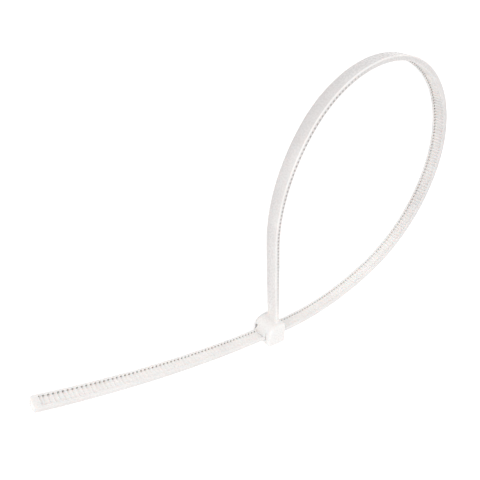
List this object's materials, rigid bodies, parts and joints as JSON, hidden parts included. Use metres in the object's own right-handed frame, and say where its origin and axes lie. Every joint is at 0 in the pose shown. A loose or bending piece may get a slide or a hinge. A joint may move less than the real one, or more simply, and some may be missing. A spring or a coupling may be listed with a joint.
{
  "type": "cable tie",
  "caption": "One-piece nylon cable tie, closed into a flat loop through its own locking head, with the free tail left on.",
  "frame": {"origin": "on the lower side face of the head, under the middle of the strap slot, with the loop lying flat", "axes": "+X back along the slot to the face where the strap goes in, +Y along the strap where it leaves the head, +Z across the strap's width, square to the plane of the loop"},
  "size_m": [0.114, 0.0674, 0.0062],
  "materials": {
    "natural_nylon": "natural translucent moulded nylon, satin on the outer face, fine teeth on the inner face"
  },
  "bodies": {
    "root": {"cable_tie": "natural_nylon"}
  },
  "joints": []
}
